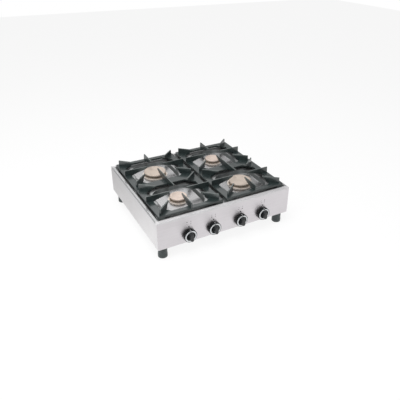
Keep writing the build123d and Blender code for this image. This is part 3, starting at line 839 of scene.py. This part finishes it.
@dataclass
class Knob:
    """One knob: a turned skirt with a dish and a groove for its trim ring, a grip and a pointer.

    Depths are measured forwards from the panel's face.
    """

    centre_x: float
    centre_z: float = KNOB_AXIS_HEIGHT
    front_y: float = PANEL_FACE
    back: float = 0.0070
    skirt_front: float = 0.0195
    skirt_back_radius: float = 0.0316
    skirt_front_radius: float = 0.0310
    skirt_wall: float = 0.0025
    groove_outer: float = 0.0285
    groove_inner: float = 0.0225
    groove_depth: float = 0.0015
    dish_front: float = 0.0165
    dish_edge: float = 0.0010
    bore_radius: float = 0.0041
    hub_radius: float = 0.0080
    rounding: float = 0.0007
    bead: float = 0.0012
    grip_half_length: float = 0.0220
    grip_half_width: float = 0.0100
    grip_front: float = 0.0365
    grip_draft: float = math.radians(7.0)
    grip_edge: float = 0.0025
    pointer_width: float = 0.0040
    pointer_front: float = 0.0215
    pointer_root: float = 0.0195
    pointer_bevel: float = 0.0006
    pointer_end_play: float = 0.0002
    line_width: float = 0.0022
    line_thickness: float = 0.00015
    line_start: float = 0.0035
    line_end: float = 0.0008
    line_sink: float = 0.0001
    line_side_sink: float = 0.0002
    grip_sink: float = 0.0006
    pointer_sink: float = 0.0004
    bore_floor: float = 0.001
    steps: int = 96
    grip_edge_steps: int = 6
    grip_arc_steps: int = 14

    def point(self, radius: float, angle: float, depth: float) -> Point:
        """Give a point round the knob's axis, the angle counted from 12 o'clock."""
        return (
            self.centre_x + radius * math.sin(angle),
            self.front_y - depth,
            self.centre_z + radius * math.cos(angle),
        )

    def turn(self, mesh: bmesh.types.BMesh, profile: list[tuple[float, float]]) -> None:
        """Turn a profile round the knob's axis.

        Args:
            mesh: what it is added to.
            profile: radii and depths, from the axis out and back to it.
        """
        rows = []
        step = 2 * math.pi / self.steps
        for radius, depth in profile:
            count = self.steps if radius else 1
            rows.append([mesh.verts.new(self.point(radius, step * i, depth)) for i in range(count)])
        for first, second in zip(rows, rows[1:]):
            for i in range(self.steps):
                corners = [
                    first[i % len(first)],
                    first[(i + 1) % len(first)],
                    second[(i + 1) % len(second)],
                    second[i % len(second)],
                ]
                mesh.faces.new(list(dict.fromkeys(corners)))

    def skirt(self) -> bmesh.types.BMesh:
        """Make the skirt with its dish, groove and hollow back."""
        mesh = bmesh.new()
        floor = self.skirt_front - self.groove_depth
        inside = self.dish_front - self.skirt_wall
        turn = self.rounding
        self.turn(
            mesh,
            [
                (0.0, self.dish_front),
                (self.groove_inner - self.dish_edge - turn, self.dish_front),
                (self.groove_inner - self.dish_edge, self.dish_front + 0.3 * turn),
                (self.groove_inner, floor),
                (self.groove_outer, floor),
                (self.groove_outer, self.skirt_front - 0.3 * turn),
                (self.groove_outer + 0.3 * turn, self.skirt_front),
                (self.skirt_front_radius - turn, self.skirt_front),
                (self.skirt_front_radius - 0.3 * turn, self.skirt_front - 0.3 * turn),
                (self.skirt_front_radius, self.skirt_front - turn),
                (self.skirt_back_radius - 0.4 * turn, self.back + self.bead + turn),
                (self.skirt_back_radius, self.back + self.bead),
                (self.skirt_back_radius, self.back + 0.4 * turn),
                (self.skirt_back_radius - 0.4 * turn, self.back),
                (self.skirt_back_radius - self.skirt_wall, self.back),
                (self.skirt_front_radius - self.skirt_wall, inside),
                (self.hub_radius, inside),
                (self.hub_radius, self.back),
                (self.bore_radius, self.back),
                (self.bore_radius, self.dish_front - self.bore_floor),
                (0.0, self.dish_front - self.bore_floor),
            ],
        )
        return mesh

    def grip(self) -> bmesh.types.BMesh:
        """Make the grip bar, drafted and rounded at its front, and the pointer over the ring."""
        mesh = bmesh.new()
        root = self.dish_front - self.grip_sink
        slope = math.tan(self.grip_draft)
        stations = [(root, 0.0)]
        straight = self.grip_front - self.grip_edge
        for i in range(self.grip_edge_steps + 1):
            turn = math.pi / 2 * i / self.grip_edge_steps
            depth = straight + self.grip_edge * math.sin(turn)
            inset = (straight - root) * slope + self.grip_edge * (1 - math.cos(turn))
            stations.append((depth, inset))
        arc = self.grip_arc_steps
        rows = []
        for depth, inset in stations:
            radius = self.grip_half_width - inset
            reach = self.grip_half_length - self.grip_half_width
            row = []
            for end in (1, -1):
                for i in range(arc + 1):
                    turn = math.pi * i / arc
                    x = end * radius * math.cos(turn)
                    z = end * (reach + radius * math.sin(turn))
                    spot = (self.centre_x + x, self.front_y - depth, self.centre_z + z)
                    row.append(mesh.verts.new(spot))
            rows.append(row)
        for first, second in zip(rows, rows[1:]):
            for i in range(len(first)):
                j = (i + 1) % len(first)
                mesh.faces.new((first[i], first[j], second[j], second[i]))
        mesh.faces.new(rows[0])
        mesh.faces.new(rows[-1])
        self.bar(
            mesh,
            self.pointer_width,
            (self.pointer_root, self.skirt_front_radius - self.pointer_end_play),
            (self.skirt_front - self.groove_depth - self.pointer_sink, self.pointer_front),
            self.pointer_bevel,
        )
        return mesh

    def bar(
        self,
        mesh: bmesh.types.BMesh,
        width: float,
        radii: tuple[float, float],
        depths: tuple[float, float],
        bevel: float,
    ) -> None:
        """Add a bar that lies along 12 o'clock.

        Args:
            mesh: what it is added to.
            width: its width.
            radii: where it starts and ends along the radius.
            depths: its back and front.
            bevel: the rounding of its edges.
        """
        made = bmesh.ops.create_cube(mesh, size=1.0)["verts"]
        for vertex in made:
            vertex.co = (
                self.centre_x + vertex.co.x * width,
                self.front_y - (depths[0] if vertex.co.y > 0 else depths[1]),
                self.centre_z + (radii[1] if vertex.co.z > 0 else radii[0]),
            )
        if bevel:
            edges = list({edge for vertex in made for edge in vertex.link_edges})
            bmesh.ops.bevel(mesh, geom=edges, offset=bevel, segments=3, affect="EDGES", profile=0.5)

    def index_line(self) -> bmesh.types.BMesh:
        """Make the painted line over the pointer and down the skirt's side."""
        mesh = bmesh.new()
        self.bar(
            mesh,
            self.line_width,
            (self.pointer_root + self.line_start, self.skirt_front_radius - self.line_end),
            (self.pointer_front - self.line_sink, self.pointer_front + self.line_thickness),
            0.0,
        )
        strip = []
        back_radius = self.skirt_back_radius - 0.4 * self.rounding
        for lift in (-self.line_side_sink, self.line_thickness):
            for radius, depth in (
                (self.skirt_front_radius + lift, self.skirt_front - self.rounding),
                (back_radius + lift, self.back + self.bead + self.rounding),
            ):
                for side in (-1, 1):
                    angle = side * self.line_width / 2 / radius
                    strip.append(mesh.verts.new(self.point(radius, angle, depth)))
        for corners in (
            (0, 1, 3, 2),
            (4, 5, 7, 6),
            (0, 1, 5, 4),
            (2, 3, 7, 6),
            (0, 2, 6, 4),
            (1, 3, 7, 5),
        ):
            mesh.faces.new([strip[i] for i in corners])
        return mesh


@dataclass
class KnobSet:
    """The knobs with their trim rings, and the valves behind them."""

    burners: list[Burner]
    # Skirt and grip are one black moulding: the skirt is painted darker (painted shade) and the
    # grip paler (painted light).
    skirt_painted_shade_colour: Colour = (0.0035, 0.0045, 0.005)
    grip_painted_light_colour: Colour = (0.016, 0.018, 0.019)
    paint_colour: Colour = (0.36, 0.36, 0.37)
    brass: Colour = (0.62, 0.44, 0.20)
    brass_shade: Colour = (0.47, 0.33, 0.15)
    steel: Colour = (0.62, 0.62, 0.63)
    steel_shade: Colour = (0.52, 0.52, 0.53)
    silver: Colour = (0.74, 0.76, 0.77)
    silver_shade: Colour = (0.66, 0.68, 0.70)

    def build(self) -> None:
        """Shape and dress the knobs, and dress the valves."""
        # Darker and paler copies of one black plastic: painted shade on the skirt, painted light on
        # the grip.
        skirt = MouldedPlastic("knob_skirt_black_painted_shade", self.skirt_painted_shade_colour, 0.34, specular=0.35).build()
        black = MouldedPlastic("knob_grip_black_painted_light", self.grip_painted_light_colour, 0.30).build()
        paint = PrintedInk("index_paint", self.paint_colour, 0.45).build()
        brass = CastMetal("valve_brass", self.brass, self.brass_shade, 0.32).build()
        steel = CastMetal("spindle_steel", self.steel, self.steel_shade, 0.26).build()
        for burner in self.burners:
            place = burner.place
            knob, body = Knob(burner.knob_x), f"knob_{place}"
            turned = add_piece(f"knob_skirt_{place}", knob.skirt(), skirt, body)
            grip = add_piece(f"knob_grip_{place}", knob.grip(), black, body)
            line = knob.index_line()
            add_piece(f"knob_index_{place}", line, paint, body, smooth=False)
            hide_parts(f"knob_{place}")
            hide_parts(f"knob_{place}")
            centre = (burner.knob_x, 0.0, KNOB_AXIS_HEIGHT)
            trim = TurnedMetal(
                f"trim_silver_{place}", centre, self.silver, self.silver_shade, "XZ", 0.42, 0.25
            )
            dress([f"trim_ring_{place}"], trim.build())
            dress([f"valve_spindle_{place}"], steel)
            dress([f"valve_plug_{place}", f"gas_valve_{place}"], brass)


@dataclass
class GasParts:
    """The rail, tubes, jets and inlet."""

    burners: list[Burner]
    brass: Colour = (0.66, 0.47, 0.22)
    brass_shade: Colour = (0.52, 0.36, 0.17)
    aluminium: Colour = (0.60, 0.60, 0.61)
    aluminium_shade: Colour = (0.52, 0.52, 0.53)
    zinc: Colour = (0.58, 0.58, 0.60)
    zinc_shade: Colour = (0.48, 0.48, 0.50)

    def build(self) -> None:
        """Dress the gas parts."""
        brass = CastMetal("fitting_brass", self.brass, self.brass_shade, 0.3).build()
        tube = CastMetal("tube_aluminium", self.aluminium, self.aluminium_shade, 0.36).build()
        zinc = CastMetal("bracket_zinc", self.zinc, self.zinc_shade, 0.36).build()
        places = [burner.place for burner in self.burners]
        dress([f"jet_{place}" for place in places] + ["tube_nuts", "rail_end_plug"], brass)
        dress(["inlet_fitting", "inlet_lock_nut"], brass)
        dress([f"supply_tube_{place}" for place in places], tube)
        dress(["gas_rail", "rail_straps", "rail_cradles", "jet_brackets"], zinc)


@dataclass
class Studio:
    """Camera, pale floor and soft lamps."""

    camera_place: Point = (-0.920, -1.814, 1.277)
    azimuth: float = -29.623
    elevation: float = 29.568
    roll: float = 0.992
    lens: float = 40.584
    sensor: float = 36.0
    nearest: float = 0.05
    farthest: float = 60.0
    shift_x: float = -0.038925
    shift_y: float = -0.025033
    floor_size: float = 14.0
    room_light: float = 0.50
    horizon: float = 0.55
    front_wall: float = 0.16
    front_start: float = 0.12
    front_full: float = 0.32
    back_wall: float = 0.26
    back_start: float = -0.35
    back_full: float = 0.15
    ceiling: float = 0.9
    ceiling_start: float = 0.86
    ceiling_full: float = 0.97
    screen: float = 1.7
    screen_start: float = 0.38
    screen_full: float = 0.64
    screen_edge: float = math.radians(36.0)
    screen_far_edge: float = math.radians(14.0)
    floor_tone: Colour = (0.86, 0.86, 0.86)
    floor_white: float = 0.86
    floor_mirrored: float = 0.98
    floor_gloss: float = 0.97
    floor_far_gloss: float = 0.60
    floor_fade_start: float = -0.1
    floor_fade_end: float = 0.6

    def aim_camera(self) -> None:
        """Put the camera where the photograph was taken from."""
        data = bpy.data.cameras.new("camera")
        data.lens = self.lens
        data.sensor_width = self.sensor
        data.shift_x = self.shift_x
        data.shift_y = self.shift_y
        data.clip_start = self.nearest
        data.clip_end = self.farthest
        camera = bpy.data.objects.new("camera", data)
        camera.location = self.camera_place
        turn, tilt = math.radians(self.azimuth), math.radians(self.elevation)
        reach = math.cos(tilt)
        ahead = Vector((-math.sin(turn) * reach, math.cos(turn) * reach, -math.sin(tilt)))
        level = Vector((math.cos(turn), math.sin(turn), 0.0))
        upright = level.cross(ahead)
        roll = math.radians(self.roll)
        right = level * math.cos(roll) + upright * math.sin(roll)
        up = upright * math.cos(roll) - level * math.sin(roll)
        camera.rotation_mode = "QUATERNION"
        camera.rotation_quaternion = Matrix((right, up, -ahead)).transposed().to_quaternion()
        bpy.context.scene.collection.objects.link(camera)
        bpy.context.scene.camera = camera

    def floor_finish(self) -> bpy.types.Material:
        """Make the floor's material: white to the camera apart from the object's soft shadow."""
        graph = Graph("floor")
        graph.set(Base_Color=self.floor_tone, Roughness=0.9, Specular_IOR_Level=0.0)
        paper = graph.noise(graph.place(), 30.0, detail=2.0, roughness=0.5)
        graph.bump(paper, 0.0001)
        light = graph.nodes.new("ShaderNodeEmission")
        light.inputs["Color"].default_value = (*WHITE, 1.0)
        mixer = graph.nodes.new("ShaderNodeMixShader")
        path = graph.nodes.new("ShaderNodeLightPath")
        share = graph.calculate("MULTIPLY", path.outputs["Is Camera Ray"], self.floor_white)
        far = graph.span(
            graph.axes()["Y"],
            1.0 - self.floor_gloss,
            1.0 - self.floor_far_gloss,
            self.floor_fade_start,
            self.floor_fade_end,
        )
        lost = graph.calculate("MULTIPLY", path.outputs["Is Glossy Ray"], far)
        graph.links.new(graph.span(lost, 1.0, 0.0), light.inputs["Strength"])
        glossy = graph.calculate("MULTIPLY", path.outputs["Is Glossy Ray"], self.floor_mirrored)
        graph.links.new(graph.calculate("ADD", share, glossy), mixer.inputs["Fac"])
        graph.links.new(graph.shader.outputs["BSDF"], mixer.inputs[1])
        graph.links.new(light.outputs["Emission"], mixer.inputs[2])
        graph.links.new(mixer.outputs["Shader"], graph.output.inputs["Surface"])
        return graph.material

    def lay_floor(self) -> None:
        """Lay the floor as one large flat sheet under the object."""
        finish = self.floor_finish()
        mesh = bmesh.new()
        half = self.floor_size / 2
        corners = ((-half, -half), (half, -half), (half, half), (-half, half))
        mesh.faces.new([mesh.verts.new((x, y, 0.0)) for x, y in corners])
        data = bpy.data.meshes.new("floor")
        mesh.to_mesh(data)
        mesh.free()
        data.materials.append(finish)
        floor = bpy.data.objects.new("floor", data)
        bpy.context.scene.collection.objects.link(floor)

    def fill_world(self) -> None:
        """Make a surround that is white to the eye, and to gloss a dim room and its ceiling."""
        world = bpy.data.worlds.new("surround")
        bpy.context.scene.world = world
        world.use_nodes = True
        nodes, links = world.node_tree.nodes, world.node_tree.links
        nodes.clear()
        output = nodes.new("ShaderNodeOutputWorld")
        background = nodes.new("ShaderNodeBackground")
        path = nodes.new("ShaderNodeLightPath")
        direction = nodes.new("ShaderNodeTexCoord")
        split = nodes.new("ShaderNodeSeparateXYZ")
        links.new(direction.outputs["Generated"], split.inputs["Vector"])

        def band(value: Socket, start: float, end: float) -> Socket:
            """Go smoothly from 0 to 1 as an input crosses a range."""
            node = nodes.new("ShaderNodeMapRange")
            node.interpolation_type = "SMOOTHSTEP"
            node.inputs["From Min"].default_value = start
            node.inputs["From Max"].default_value = end
            links.new(value, node.inputs["Value"])
            return node.outputs["Result"]

        def facing(turn: float) -> Socket:
            """Give how far a direction leans to a bearing, counted from +X towards +Y."""
            node = nodes.new("ShaderNodeVectorMath")
            node.operation = "DOT_PRODUCT"
            node.inputs[1].default_value = (math.cos(turn), math.sin(turn), 0.0)
            links.new(direction.outputs["Generated"], node.inputs[0])
            return node.outputs["Value"]

        def mix(share: Socket, first: Socket | float, second: Socket | float) -> Socket:
            """Mix two values, each linked or constant."""
            node = nodes.new("ShaderNodeMapRange")
            node.clamp = False
            for name, value in (("To Min", first), ("To Max", second)):
                if isinstance(value, float):
                    node.inputs[name].default_value = value
                else:
                    links.new(value, node.inputs[name])
            links.new(share, node.inputs["Value"])
            return node.outputs["Result"]

        backward, upward = split.outputs["Y"], split.outputs["Z"]
        screen = mix(band(facing(-self.screen_edge), 0.06, -0.06), 0.0, band(backward, 0.0, 0.2))
        screen = mix(band(facing(self.screen_far_edge), -0.08, 0.08), 0.0, screen)
        screen = mix(band(upward, self.screen_start, self.screen_full), 0.0, screen)
        front = band(upward, self.front_start, self.front_full)
        front = mix(front, self.horizon, self.front_wall)
        walls = mix(band(backward, self.back_start, self.back_full), front, self.back_wall)
        room = mix(screen, walls, self.screen)
        room = mix(band(upward, self.ceiling_start, self.ceiling_full), room, self.ceiling)
        glossy = mix(band(upward, -0.02, 0.06), 1.0, room)
        seen = mix(path.outputs["Is Glossy Ray"], self.room_light, glossy)
        seen = mix(path.outputs["Is Camera Ray"], seen, 1.0)
        background.inputs["Color"].default_value = (*WHITE, 1.0)
        links.new(seen, background.inputs["Strength"])
        links.new(background.outputs["Background"], output.inputs["Surface"])

    def hang_lamp(self, name: str, place: Point, target: Point, size: float, watts: float) -> None:
        """Hang one square soft lamp.

        Args:
            name: the lamp's name.
            place: where it hangs.
            target: the point that it faces.
            size: the length of its side.
            watts: its power.
        """
        data = bpy.data.lights.new(name, "AREA")
        data.size = size
        data.energy = watts
        lamp = bpy.data.objects.new(name, data)
        lamp.visible_glossy = False
        lamp.location = place
        lamp.rotation_mode = "QUATERNION"
        lamp.rotation_quaternion = (Vector(target) - Vector(place)).to_track_quat("-Z", "Y")
        bpy.context.scene.collection.objects.link(lamp)

    def build(self) -> None:
        """Set up the whole studio."""
        bpy.context.scene.view_settings.view_transform = "Standard"
        self.aim_camera()
        self.lay_floor()
        self.fill_world()
        self.hang_lamp("top_lamp", (-0.6, -0.5, 2.6), (0.0, 0.0, 0.1), 2.2, 70.0)
        self.hang_lamp("side_lamp", (-2.6, -1.2, 1.4), (0.0, 0.0, 0.1), 1.6, 22.0)


def main() -> None:
    """Build the stove's looks around the CAD frame."""
    logging.basicConfig(level=logging.INFO, format="%(name)s: %(message)s")
    Studio().build()
    burners = [
        Burner("front_left", -0.170, -0.1425, 0.041, -0.0725),
        Burner("front_right", 0.170, -0.1425, 0.056, 0.0725),
        Burner("rear_left", -0.170, 0.1425, 0.056, -0.1975),
        Burner("rear_right", 0.170, 0.1425, 0.041, 0.1975),
    ]
    Casing().build()
    PanSupports().build()
    BurnerSet(burners).build()
    KnobSet(burners).build()
    GasParts(burners).build()
    PanelMarks().build(burners)


if __name__ == "__main__":
    main()
